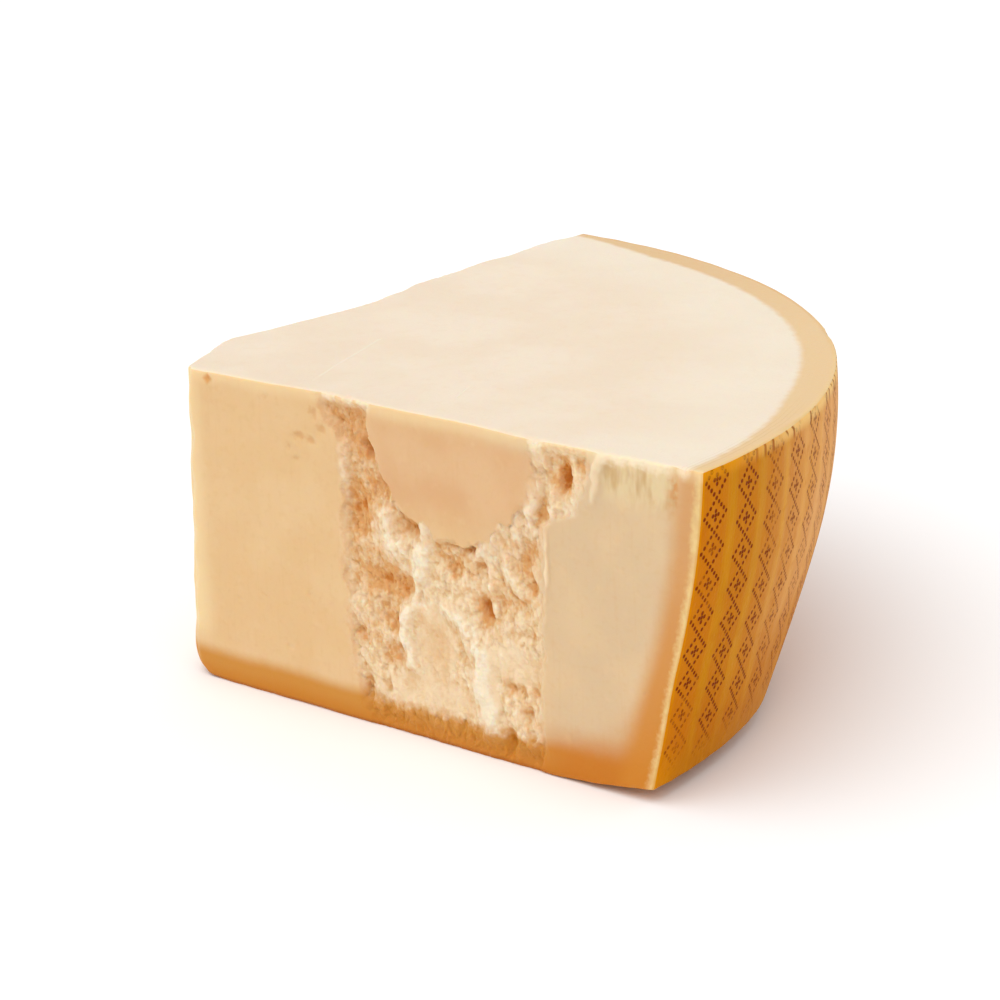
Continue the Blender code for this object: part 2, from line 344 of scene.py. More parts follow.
# what the noise of the ridges takes: dimension, step between octaves, octaves, offset, gain
RIDGE_NOISE = (1.0, 2.1, 3, 1.0, 2.0)
CREST_SHARE = 0.9
CREST_BREAKS = 0.4
CREST_BREAK_SIZE = 3.6
HIGH_CREST = 3.0
HIGH_CREST_SMOOTHNESS = 0.3
LIMIT_CHIPPING = 0.25
PANEL_CHIPPING = 0.6
CHIPPED_EDGE_SIZE = 4.6
GRAIN = 0.2
GRAIN_SIZE = 1.5
SHELL_GRAIN = 0.3
# what the noise of the grain takes: dimension, step between octaves, octaves
GRAIN_NOISE = (0.8, 2.0, 3)
SWELL_DEPTH = 0.8
SWELL_SIZE = 14.0
PANEL_WAVE = 0.14
PANEL_WAVE_SIZE = 22.0
BURR_BREAK_SIZE = 5.0
BURR_BREAKS = (-0.5, 0.3)
SCRAPE_DEPTH = 0.35
SCRAPE_RAGGED = 2.0
SCRAPE_LEFT_EDGE = (0.0, 1.5)
SCRAPE_RIGHT_EDGE = (0.0, 2.0)
SCRAPE_LOW_EDGE = (-2.0, 7.0)
FLUTE_DEPTH = 0.4
FLUTE_WIDTH = 4.4
FLUTE_LENGTH = 26.0
FLUTE_BEND = 0.8
SMALL_FLUTE_SHARE = 0.6
SMALL_FLUTES_A_FLUTE = 2.3
SMALL_FLUTE_LENGTH = 7.0
CUT_REACH = 26.0
TOP_CALM = 4.0
BASE_CALM = 4.0
EDGE_SHARE = 0.3


def reach_inside_limits(crags, place):
    """How far a place lies inside the two upright limits of a side's broken part."""
    return min(place.x - line_height(crags["left_limit"], place.z),
               line_height(crags["right_limit"], place.z) - place.x)


def reach_outside_panel(crags, place):
    """How far a place lies outside the panel that hangs from a side's top edge."""
    return max(line_height(crags["panel_left"], place.z) - place.x,
               place.x - line_height(crags["panel_right"], place.z),
               crags["panel_left"][0][0] - place.z)


def chip_depth(place, size, lean_share):
    """Depth of the chip that a place lies on, which leans its own way, and the gap to the next."""
    distances, centres = noise.voronoi(place / size)
    lean = 2.0 * noise.cell_vector(centres[0] * CHIP_SEED) - Vector((1.0, 1.0, 1.0))
    offset = place - centres[0] * size
    step = CHIP_STEP * lean.y * lean_share * size
    return lean_share * (lean.x * offset.x + lean.z * offset.z) + step, distances[1] - distances[0]


def scraped_share(crags, across, up):
    """1 inside the scraped strip, 0 outside it, with a ragged lower edge."""
    left, right, low = crags["scrape"]
    ragged = SCRAPE_RAGGED * noise.noise(Vector((across / RAGGED_SIZE, crags["seed"], 0.0)))
    return (ease(*SCRAPE_LEFT_EDGE, across - left) * ease(*SCRAPE_RIGHT_EDGE, right - across)
            * ease(*SCRAPE_LOW_EDGE, up - low - ragged))


def panel_depth(crags, across, up):
    """Depth of a knife's panel behind its cut plane, and how scraped it is there."""
    flat = Vector((across, crags["seed"], up))
    depth = PANEL_WAVE * noise.noise(flat / PANEL_WAVE_SIZE)
    ragged = noise.noise_vector(flat / RAGGED_SIZE) * RAGGED
    for height, half_width, points in crags["burrs"]:
        near = 1.0 - distance_to_run(across + ragged.x, up, points) / half_width
        unbroken = ease(*BURR_BREAKS, noise.noise(flat / BURR_BREAK_SIZE))
        depth -= height * ease(0.0, 1.0, near) * unbroken
    for centre_x, centre_z, half_width, half_height, nick in crags["nicks"]:
        away = (((across + ragged.x - centre_x) / half_width) ** 2
                + ((up + ragged.z - centre_z) / half_height) ** 2)
        depth += nick * math.exp(-away)
    scraped = scraped_share(crags, across, up)
    flutes_across = (across + FLUTE_BEND * ragged.x) / FLUTE_WIDTH
    flute = noise.noise(Vector((flutes_across, crags["seed"], up / FLUTE_LENGTH)))
    small_place = Vector((flutes_across * SMALL_FLUTES_A_FLUTE, crags["seed"], up / SMALL_FLUTE_LENGTH))
    flute += SMALL_FLUTE_SHARE * noise.noise(small_place)
    return depth + scraped * (SCRAPE_DEPTH + FLUTE_DEPTH * flute), scraped


def crag_depth(crags, across, up):
    """Depth of a broken side behind its cut plane, and how broken and how crumbly it is there."""
    flat = Vector((across, crags["seed"], up))
    slow_wander = noise.noise_vector(flat / WANDER_SIZE) * WANDER
    chip_centre = noise.voronoi(flat / CHIPPED_EDGE_SIZE)[1][0] * CHIPPED_EDGE_SIZE
    limit_place = flat.lerp(chip_centre, LIMIT_CHIPPING) + slow_wander
    panel_place = flat.lerp(chip_centre, PANEL_CHIPPING) + slow_wander
    reach = min(reach_inside_limits(crags, limit_place) / LIMIT_EDGE,
                reach_outside_panel(crags, panel_place) / PANEL_EDGE)
    if reach <= 0.0:
        return 0.0, 0.0, 0.0
    share = ease(0.0, 1.0 + EDGE_SLACK * max(noise.noise(flat / WANDER_SIZE), 0.0), reach)

    wander = slow_wander + noise.noise_vector(flat / RAGGED_SIZE) * RAGGED
    across += wander.x
    up += wander.z
    slanted = Vector((flat.x, crags["seed"], CHIP_STRETCH * flat.z - CHIP_SLANT * flat.x))
    crest = 0.0
    for height, half_width, points in crags["crests"]:
        near = 1.0 - distance_to_run(across, up, points) / half_width
        crest = max(crest, height * ease(0.0, 1.0, near))
    crest *= CREST_SHARE + CREST_BREAKS * noise.noise(flat / CREST_BREAK_SIZE)
    ridge = noise.ridged_multi_fractal(slanted / RIDGE_SIZE, *RIDGE_NOISE)
    depth = CRAG_RECESS - crest + SWELL_DEPTH * noise.noise(flat / SWELL_SIZE)
    depth -= RIDGE_DEPTH * (ridge - RIDGE_LEVEL)
    for centre_x, centre_z, half_width, half_height, hollow in crags["hollows"]:
        away = ((across - centre_x) / half_width) ** 2 + ((up - centre_z) / half_height) ** 2
        depth += hollow * math.exp(-away)

    rough = 1.0 - HIGH_CREST_SMOOTHNESS * min(crest / HIGH_CREST, 1.0)
    for centre_x, centre_z, half_width, half_height in crags["shells"]:
        away = ((across - centre_x) / half_width) ** 2 + ((up - centre_z) / half_height) ** 2
        rough = min(rough, SHELL_ROUGHNESS + (1.0 - SHELL_ROUGHNESS) * ease(*SHELL_RIM, away))
    for size, lean_share, least in CHIP_SIZES:
        chip, gap = chip_depth(slanted, size, lean_share)
        crevice = CHIP_CREVICE * (1.0 - ease(0.0, CREVICE_WIDTH, gap))
        depth += (least + (1.0 - least) * rough) * (chip + crevice * rough)
    grain = GRAIN * noise.fractal(flat / GRAIN_SIZE, *GRAIN_NOISE)
    depth += (SHELL_GRAIN + (1.0 - SHELL_GRAIN) * rough) * grain
    from_edge = min(ease(0.0, TOP_CALM, HEIGHT - flat.z), ease(0.0, BASE_CALM, flat.z))
    depth = max(depth, -CRAG_PROUD) * (EDGE_SHARE + (1.0 - EDGE_SHARE) * from_edge)
    return share * depth, share, share * rough


def side_relief(crags, across, up):
    """The whole relief of a cut side: its depth, and how broken, crumbly and scraped it is."""
    panel, scraped = panel_depth(crags, across, up)
    crag, broken, crumbly = crag_depth(crags, across, up)
    return crag + (1.0 - broken) * panel, broken, crumbly, scraped * (1.0 - broken)


def cut_sides(place, turn):
    """Move a point of the wedge with the two cut sides, and give the relief that moved it."""
    from_front = max(place.y - FRONT_OFFSET, 0.0)
    from_back = max(place.x - BACK_OFFSET, 0.0)
    upper = place.z / HEIGHT
    moved = place.copy()
    relief = (0.0, 0.0, 0.0, 0.0)
    if from_front < CUT_REACH and turn < 0.5:
        fade = (1.0 - from_front / CUT_REACH) ** 2
        wander = (line_height(FRONT_LINE, place.x, soft=True) - FRONT_OFFSET) * upper
        relief = side_relief(FRONT_CRAGS, place.x, place.z)
        moved.y += fade * (wander + relief[0])
    if from_back < CUT_REACH and turn > 0.5:
        fade = (1.0 - from_back / CUT_REACH) ** 2
        wander = (line_height(BACK_LINE, place.y, soft=True) - BACK_OFFSET) * upper
        relief = side_relief(BACK_CRAGS, place.y, place.z)
        moved.x += fade * (wander + relief[0])
    return moved, relief


# The block's columns stand close at its two ends and closest where the sides are broken
BLOCK_DIVISIONS = (360, 90, 200)
COLUMN_PLACES = ((0, 0), (0.03, 0.02), (0.19, 0.29), (0.81, 0.84), (0.975, 0.992), (1, 1))
TURN_CROWDING = 0.85
BLOCK_TRIANGLES = 190000
SLOT_OF_SIDE = {"cut": 0, "top": 1, "rind": 2}


def divided_block(divisions):
    """A unit block whose six sides are laid out in a grid."""
    block = bmesh.new()
    bmesh.ops.create_cube(block, size=1.0)
    for axis, count in enumerate(divisions):
        runs = [edge for edge in block.edges
                if abs((edge.verts[1].co - edge.verts[0].co)[axis]) > 0.5]
        bmesh.ops.subdivide_edges(block, edges=runs, cuts=count - 1)
    bmesh.ops.translate(block, verts=block.verts, vec=(0.5, 0.5, 0.5))
    return block


def name_sides(block):
    """Give each of the block's six sides its finish."""
    block.normal_update()
    for face in block.faces:
        if face.normal.z > 0.5:
            face.material_index = SLOT_OF_SIDE["top"]
        elif face.normal.x > 0.5 or face.normal.z < -0.5:
            face.material_index = SLOT_OF_SIDE["rind"]
        else:
            face.material_index = SLOT_OF_SIDE["cut"]


block = divided_block(BLOCK_DIVISIONS)
name_sides(block)
relief_layers = [block.verts.layers.float.new(name)
                 for name in ("hollow", "broken", "crumbly", "scraped")]
broken_layer = relief_layers[1]
# the borders between the finishes, and the front edge where the side is broken, aren't thinned
kept = []
for vertex in block.verts:
    column, row, rise = vertex.co
    along = line_height(COLUMN_PLACES, column)
    turn = row - TURN_CROWDING * math.sin(2.0 * math.pi * row) / (2.0 * math.pi)
    moved, relief = cut_sides(block_place(along, turn, rise), turn)
    vertex.co = moved
    for layer, level in zip(relief_layers, relief):
        vertex[layer] = level
    on_border = len({face.material_index for face in vertex.link_faces}) > 1
    if on_border or (turn == 0.0 and vertex[broken_layer] > 0.0):
        kept.append(vertex.index)

bmesh.ops.scale(block, verts=block.verts, vec=(METRES, METRES, METRES))
xs = [vertex.co.x for vertex in block.verts]
ys = [vertex.co.y for vertex in block.verts]
middle = Vector(((min(xs) + max(xs)) / 2, (min(ys) + max(ys)) / 2, 0.0))
bmesh.ops.translate(block, verts=block.verts, vec=-middle)
bmesh.ops.triangulate(block, faces=block.faces)
chunk_mesh = bpy.data.meshes.new("cheese_chunk")
block.to_mesh(chunk_mesh)
block.free()
chunk_mesh.shade_smooth()
chunk = bpy.data.objects.new("cheese_chunk", chunk_mesh)
bpy.context.scene.collection.objects.link(chunk)

free_to_thin = chunk.vertex_groups.new(name="free to thin")
free_to_thin.add(range(len(chunk_mesh.vertices)), 1.0, "REPLACE")
free_to_thin.add(kept, 0.0, "REPLACE")
thinning = chunk.modifiers.new("thin flat stretches", "DECIMATE")
thinning.ratio = BLOCK_TRIANGLES / len(chunk_mesh.polygons)
thinning.vertex_group = free_to_thin.name
even_shading = chunk.modifiers.new("keep flats flat", "WEIGHTED_NORMAL")
even_shading.mode = "FACE_AREA"
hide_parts("parmesan_chunk")
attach(chunk, "root")

# Its finishes are worked out in millimetres from the wheel's axis, as its form is. Each tint of a
# colour has a share, which goes from 0 to 1 between two levels, then a strength and a colour.
WHEEL_MIDDLE = tuple(middle / METRES)
PASTE_LIGHT = 1.15
RIND_LIGHT = 0.94
GLOW_RADIUS = (1.0, 0.55, 0.25)
GLOW_SCALE = 0.0025


def seen_as(red, green, blue, light=PASTE_LIGHT):
    """The colour of a surface that looks so on a screen, each number up to 255, in that much light."""
    levels = [level / 255.0 for level in (red, green, blue)]
    # the standard curve of screens, from a level to an amount of light
    return (*[(level / 12.92 if level <= 0.04045 else ((level + 0.055) / 1.055) ** 2.4) / light
              for level in levels], 1.0)


class Level:
    """A number that a material works out at every point. Sums of levels add their nodes."""

    def __init__(self, socket):
        self.socket = socket
        self.tree = socket.id_data

    def join(self, operation, *others):
        """A math node that takes this level first and the others after it."""
        step = self.tree.nodes.new("ShaderNodeMath")
        step.operation = operation
        for place, value in enumerate((self, *others)):
            feed(self.tree, value, step.inputs[place])
        return Level(step.outputs[0])

    def __add__(self, other):
        return self.join("ADD", other)

    def __sub__(self, other):
        return self.join("SUBTRACT", other)

    def __mul__(self, other):
        return self.join("MULTIPLY", other)

    def __truediv__(self, other):
        return self.join("DIVIDE", other)

    def from_to(self, low, high):
        """Rise smoothly from 0 where this level is low to 1 where it is high."""
        step = self.tree.nodes.new("ShaderNodeMapRange")
        step.interpolation_type = "SMOOTHSTEP"
        feed(self.tree, self, step.inputs["Value"])
        feed(self.tree, low, step.inputs["From Min"])
        feed(self.tree, high, step.inputs["From Max"])
        return Level(step.outputs["Result"])


def feed(tree, value, socket):
    """Link a level or a colour's socket to a socket, or set a plain number or colour on it."""
    if isinstance(value, Level):
        tree.links.new(value.socket, socket)
    elif isinstance(value, bpy.types.NodeSocket):
        tree.links.new(value, socket)
    else:
        socket.default_value = value


def blend(tree, share, first, second):
    """A colour between two colours, by share."""
    step = tree.nodes.new("ShaderNodeMix")
    step.data_type = "RGBA"
    # input 0 is the share, and the two colours and their blend are inputs 6 and 7 and output 2
    feed(tree, share, step.inputs[0])
    feed(tree, first, step.inputs[6])
    feed(tree, second, step.inputs[7])
    return step.outputs[2]


def tinted(tree, color, tints, light=PASTE_LIGHT):
    """Lay tints over a colour, one after the other, each by its share times its strength."""
    for share, strength, seen in tints:
        color = blend(tree, share * strength, color, seen_as(*seen, light))
    return color


def speckle(tree, place, size, detail=2.0, stretch=(1.0, 1.0, 1.0)):
    """Noise whose lumps are about size millimetres across, longer along the axes it stretches."""
    scaled = tree.nodes.new("ShaderNodeVectorMath")
    scaled.operation = "DIVIDE"
    tree.links.new(place, scaled.inputs[0])
    scaled.inputs[1].default_value = [size * factor for factor in stretch]
    lumps = tree.nodes.new("ShaderNodeTexNoise")
    lumps.inputs["Scale"].default_value = 1.0
    lumps.inputs["Detail"].default_value = detail
    tree.links.new(scaled.outputs[0], lumps.inputs["Vector"])
    return Level(lumps.outputs["Fac"])


def wheel_place(tree):
    """The point being shaded, in millimetres from the wheel's axis, and its three lengths."""
    coordinates = tree.nodes.new("ShaderNodeTexCoord")
    to_wheel = tree.nodes.new("ShaderNodeVectorMath")
    to_wheel.operation = "MULTIPLY_ADD"
    tree.links.new(coordinates.outputs["Object"], to_wheel.inputs[0])
    to_wheel.inputs[1].default_value = (1.0 / METRES, 1.0 / METRES, 1.0 / METRES)
    to_wheel.inputs[2].default_value = WHEEL_MIDDLE
    parts = tree.nodes.new("ShaderNodeSeparateXYZ")
    tree.links.new(to_wheel.outputs[0], parts.inputs[0])
    return to_wheel.outputs[0], *[Level(part) for part in parts.outputs]


def carried(tree, name):
    """A level that the mesh carries at its vertices."""
    attribute = tree.nodes.new("ShaderNodeAttribute")
    attribute.attribute_name = name
    return Level(attribute.outputs["Fac"])


def line_gap(x, y, start, end):
    """Distance in the plane of x and y from a straight line between two places."""
    run_x, run_y = end[0] - start[0], end[1] - start[1]
    length_squared = run_x ** 2 + run_y ** 2
    share = ((x - start[0]) * (run_x / length_squared)
             + (y - start[1]) * (run_y / length_squared)).join("MAXIMUM", 0.0).join("MINIMUM", 1.0)
    away_x = x - start[0] - share * run_x
    away_y = y - start[1] - share * run_y
    return (away_x * away_x + away_y * away_y).join("SQRT")


def under_rind(x, y, z, swell):
    """How far a point lies inside the rind's outer face, whose foot is taken as even all round."""
    below_top = z * (-1.0 / HEIGHT) + 1.0
    foot = (z * -1.0 + FOOT_HEIGHT).join("MAXIMUM", 0.0) / FOOT_REACH
    radius = (x * x + y * y).join("SQRT")
    drop = below_top.join("POWER", BARREL_POWER) * BARREL_DROP
    return drop * -1.0 + TOP_RADIUS + foot.join("POWER", FOOT_POWER) * FOOT_FLARE + swell - radius


def new_finish(name, roughness, gloss, glow):
    """A material with the soft inner glow of cheese, and its node tree and shader."""
    finish = bpy.data.materials.new(name)
    finish.use_nodes = True
    tree = finish.node_tree
    shader = tree.nodes["Principled BSDF"]
    shader.inputs["Roughness"].default_value = roughness
    shader.inputs["Subsurface Weight"].default_value = glow
    shader.inputs["Subsurface Radius"].default_value = GLOW_RADIUS
    shader.inputs["Subsurface Scale"].default_value = GLOW_SCALE
    shader.inputs["Specular IOR Level"].default_value = gloss
    return finish, tree, shader


def add_bump(tree, shader, height):
    """Roughen the shading by a height in millimetres."""
    bump = tree.nodes.new("ShaderNodeBump")
    bump.inputs["Distance"].default_value = METRES
    feed(tree, height, bump.inputs["Height"])
    tree.links.new(bump.outputs["Normal"], shader.inputs["Normal"])


# Where the colours of a cut side change, each from one place to another in millimetres: across it
PANEL_CHANGE = (120, 175)
HUNG_PANEL_LEFT = (88, 98)
HUNG_PANEL_RIGHT = (165, 150)
TAN_COLUMN_RIGHT = (108, 96)
UNDER_PANEL_LEFT = (90, 104)
UNDER_PANEL_RIGHT = (166, 150)
RIGHT_BASE_LEFT = (148, 172)
WORN_EDGE_LEFT = (178, 183)
WORN_EDGE_RIGHT = (207, 203)
BACK_SIDE = (40, 20)
FRONT_SIDE = (8, 4)
# up it
HUNG_PANEL_FOOT = (62, 82)
HUNG_PANEL_TOP = (101, 96)
TAN_COLUMN_FOOT = (16, 50)
TAN_COLUMN_HEAD = (70, 95)
UNDER_PANEL_FOOT = (58, 68)
BAND_TOP = (12.8, 7.4)
LOW_BAND_TOP = (7, 1)
BASE_LINE = (1.8, 0.4)
RIGHT_BASE_TOP = (19, 8)
RIND_BAND_NARROWS = (60, 10)
RIND_BAND_DARKENS = (95, 30)
TOP_EDGE = (98, 102)
CHIPPED_EDGE = (99, 102.4)
TIP_FOOT = (10, 20)
NOTCH_HEIGHT = 100.6
# and in from the rind
SCRAPED_RIND_SIDE = (14, 8)
CORNER = (44, 14)
RIND_BAND = (13, 5)
PALE_STRIP = (3.8, 1.2)
RIND_LINE = (1.1, 0.4)
NOTCH = (2.6, 0.8)
# How much each thing counts in how sunk a place in the broken part looks, in millimetres: the
# hollows' depth, counting less on the back side, gives painted shade, and the noises give random tone
FRONT_HOLLOW_WEIGHT = 1.35
BACK_HOLLOW_LOSS = 0.5
CLOT_WEIGHT = 3.2
FINE_WEIGHT = 1.5
CRUMB_WEIGHT = 6.0
SHELL_PALENESS = 0.5
CRAG_PALENESS = 0.45


def cut_levels(tree):
    """What the colours of a cut side are worked out from: its places, its relief and noises."""
    place, x, y, z = wheel_place(tree)
    cut = SimpleNamespace(place=place, x=x, y=y, z=z)
    cut.across = x.join("MAXIMUM", y)
    cut.inside = under_rind(x, y, z, 0.0)
    cut.hollow = carried(tree, "hollow")
    cut.broken = carried(tree, "broken")
    cut.crumbly = carried(tree, "crumbly")
    cut.scraped = carried(tree, "scraped")
    cut.cloud = speckle(tree, place, 24.0)
    cut.mottle = speckle(tree, place, 5.0, detail=3.0)
    cut.crumb = speckle(tree, place, 2.4)
    cut.fine = speckle(tree, place, 1.3, detail=3.0)
    cut.drag = speckle(tree, place, 1.4, stretch=(1.0, 1.0, 14.0))
    cut.ragged = (cut.cloud - 0.5) * 5.0 + (cut.mottle - 0.5) * 1.5
    return cut


def panel_color(tree, cut):
    """Where the knife went: even paste with faint patches, nicks, burrs and the scraped strip; painted
    shade darkens the hung panel and the nicks, and a painted highlight lightens the burrs.
    """
    paste = blend(tree, cut.across.from_to(*PANEL_CHANGE), seen_as(235, 196, 144), seen_as(227, 197, 157))
    # painted shade: the hung panel darker and pinker, standing for its tilt away from the light
    hung_panel_shade = (cut.across.from_to(*HUNG_PANEL_LEFT) * cut.across.from_to(*HUNG_PANEL_RIGHT)
                  * cut.z.from_to(*HUNG_PANEL_FOOT) * cut.z.from_to(*HUNG_PANEL_TOP))
    # darker where the panel is dented, as painted shade in its nicks, with random tone from fine noise
    nick_shade = (cut.hollow + (cut.fine - 0.5)).from_to(0.2, 0.7)
    panel = tinted(tree, paste, (
        (hung_panel_shade, 1.0, (228, 179, 130)),
        (cut.cloud.from_to(0.4, 0.7), 0.35, (242, 210, 164)),
        (cut.mottle.from_to(0.55, 0.8), 0.3, (242, 208, 160)),
        (cut.crumb.from_to(0.5, 0.75), 0.12, (218, 168, 110)),
        (cut.drag.from_to(0.55, 0.75), 0.1, (222, 176, 122)),
        (nick_shade, 0.5, (224, 164, 102)),
        # painted highlight where burrs stand proud of the panel
        (cut.hollow.from_to(-0.15, -0.8), 0.7, (250, 230, 194)),
    ))
    # the flutes' streaks are random tone, a little darker where the strip lies deeper, as painted shade
    flutes = speckle(tree, cut.place, 3.4, stretch=(1.0, 1.0, 3.0)) + cut.hollow * 0.08
    fluted = blend(tree, flutes.from_to(0.4, 0.7), seen_as(236, 214, 168), seen_as(212, 174, 120))
    panel = blend(tree, cut.scraped * 0.8, panel, fluted)
    scraped_by_rind = (cut.scraped * cut.inside.from_to(*SCRAPED_RIND_SIDE)
                       * cut.crumb.from_to(0.35, 0.6))
    return tinted(tree, panel, ((scraped_by_rind, 0.7, (224, 150, 84)),))


def crag_color(tree, cut):
    """The broken part: pale crests and shells, partly fresh paste and partly painted highlight,
    and darker the more sunk a place is: painted shade in its hollows, over random tone.
    """
    clots = speckle(tree, cut.place, 4.5, stretch=(1.0, 1.0, 1.8))
    hollow_weight = cut.x.from_to(*BACK_SIDE) * -BACK_HOLLOW_LOSS + FRONT_HOLLOW_WEIGHT
    shade_and_tone = (cut.hollow * hollow_weight + (clots - 0.5) * CLOT_WEIGHT
            + (cut.fine - 0.5) * FINE_WEIGHT + (cut.crumb - 0.5) * cut.crumbly * CRUMB_WEIGHT)
    shade_and_tone = shade_and_tone - (cut.broken - cut.crumbly) * SHELL_PALENESS - CRAG_PALENESS
    column_strength = (cut.z.from_to(*TAN_COLUMN_FOOT) * 0.12
                       + cut.z.from_to(*TAN_COLUMN_HEAD) * 0.38)
    tan_column = cut.across.from_to(*TAN_COLUMN_RIGHT) * column_strength
    # painted shade under and beside the foot of the hung panel, where it overhangs the broken part
    under_panel_shade = (cut.across.from_to(*UNDER_PANEL_LEFT) * cut.across.from_to(*UNDER_PANEL_RIGHT)
                   * cut.z.from_to(*UNDER_PANEL_FOOT) * 0.2)
    # painted light: a painted highlight where the place stands proud, painted shade, darker orange, the
    # deeper it sinks
    crest_color = blend(tree, shade_and_tone.from_to(-1.2, 0.6), seen_as(253, 238, 210), seen_as(248, 221, 182))
    return tinted(tree, crest_color, (
        (shade_and_tone.from_to(0.5, 2.2), 1.0, (239, 202, 155)),
        (shade_and_tone.from_to(2.0, 3.6), 1.0, (231, 174, 112)),
        (shade_and_tone.from_to(3.8, 6.0), 1.0, (212, 130, 48)),
        # a tan column on the left, and the painted shade under the hung panel
        (tan_column.join("MAXIMUM", under_panel_shade), 1.0, (220, 156, 92)),
    ))


def dried_edges(tree, cut, color):
    """Dried paste over the base and beside the rind, from tan to brown."""
    base_level = cut.z + cut.ragged * 0.5
    band_level = base_level + cut.broken * 1.2 - (cut.crumb - 0.5) * cut.broken * 5.0
    corner = (cut.inside + cut.z * 0.9 + cut.ragged).from_to(*CORNER)
    right_base = ((cut.z + cut.ragged).from_to(*RIGHT_BASE_TOP)
                  * cut.across.from_to(*RIGHT_BASE_LEFT))
    band_reach = cut.inside + cut.ragged * 0.4 - cut.z.from_to(*RIND_BAND_NARROWS) * 3.0
    rind_band = band_reach.from_to(*RIND_BAND) * (cut.z.from_to(*RIND_BAND_DARKENS) * 0.3 + 0.55)
    pale_strip = (cut.inside + cut.ragged * 0.5 + (cut.fine - 0.5) * 2.5).from_to(*PALE_STRIP)
    pale_strip = pale_strip * (cut.mottle.from_to(0.3, 0.65) * 0.4 + 0.6)
    return tinted(tree, color, (
        (band_level.from_to(*BAND_TOP), 0.9, (211, 140, 38)),
        (base_level.from_to(*LOW_BAND_TOP), 0.6, (206, 124, 16)),
        (cut.z.from_to(*BASE_LINE), 0.6, (168, 86, 24)),
        (corner, 0.75, (214, 134, 36)),
        (right_base, 0.75, (210, 126, 30)),
        (rind_band, 1.0, (217, 140, 44)),
        (pale_strip, 1.0, (240, 210, 146)),
        (cut.inside.from_to(*RIND_LINE), 0.6, (222, 164, 56)),
    ))


def top_and_tip_edges(tree, cut, color):
    """Painted glow along the sawn top, where light shows through the paste, with pale chips and
    one tan notch, and pale paste down the tip.
    """
    chipped = cut.across.from_to(*WORN_EDGE_LEFT) * cut.across.from_to(*WORN_EDGE_RIGHT) * 0.9
    for chip_place, half_width, _ in TOP_CHIPS[1:]:
        chip_gap = (cut.across - chip_place).join("ABSOLUTE") + (cut.crumb - 0.5) * 6.0
        chip = chip_gap.from_to(half_width + 1.0, half_width - 1.5) * 0.8
        chipped = chipped.join("MAXIMUM", chip)
    chipped_level = (cut.z + (cut.crumb - 0.5) * 5.0).from_to(*CHIPPED_EDGE)
    notch_gap = ((cut.across - TOP_CHIPS[0][0] - 1.0).join("ABSOLUTE")
                 + (cut.z - NOTCH_HEIGHT).join("ABSOLUTE"))
    tip = cut.across.from_to(TIP_ALONG_BACK + 2.0, TIP_ALONG_FRONT - 1.0)
    return tinted(tree, color, (
        # painted glow: a pale band under the top edge, where light through the paste shows
        ((cut.z + cut.ragged * 0.3).from_to(*TOP_EDGE), 0.5, (248, 222, 172)),
        (chipped * chipped_level * cut.y.from_to(*FRONT_SIDE), 1.0, (252, 236, 206)),
        (notch_gap.from_to(*NOTCH), 0.6, (226, 150, 60)),
        (tip * cut.z.from_to(*TIP_FOOT), 0.8, (250, 222, 170)),
    ))


def cut_finish():
    """The paste of the cut sides: smooth where the knife went, pale crests and deep hollows."""
    finish, tree, shader = new_finish("cut_paste", roughness=0.46, gloss=0.15, glow=0.6)
    cut = cut_levels(tree)
    color = blend(tree, cut.broken, panel_color(tree, cut), crag_color(tree, cut))
    color = dried_edges(tree, cut, color)
    color = top_and_tip_edges(tree, cut, color)
    feed(tree, color, shader.inputs["Base Color"])

    smooth_height = cut.drag * 0.04 + cut.fine * 0.08 + cut.crumb * 0.08
    rough_height = cut.mottle * 0.2 + cut.crumb * 0.4 + cut.fine * 0.35
    add_bump(tree, shader, smooth_height + rough_height * cut.broken)
    return finish


# The saw left faint lines beside the rind, and a knife's point a scratch and a nick in the top
SCRATCH = ((46, 55), (62, 5))
NICK = ((107, 27), (112, 15))
SAW_LINES_A_MILLIMETRE = 0.7


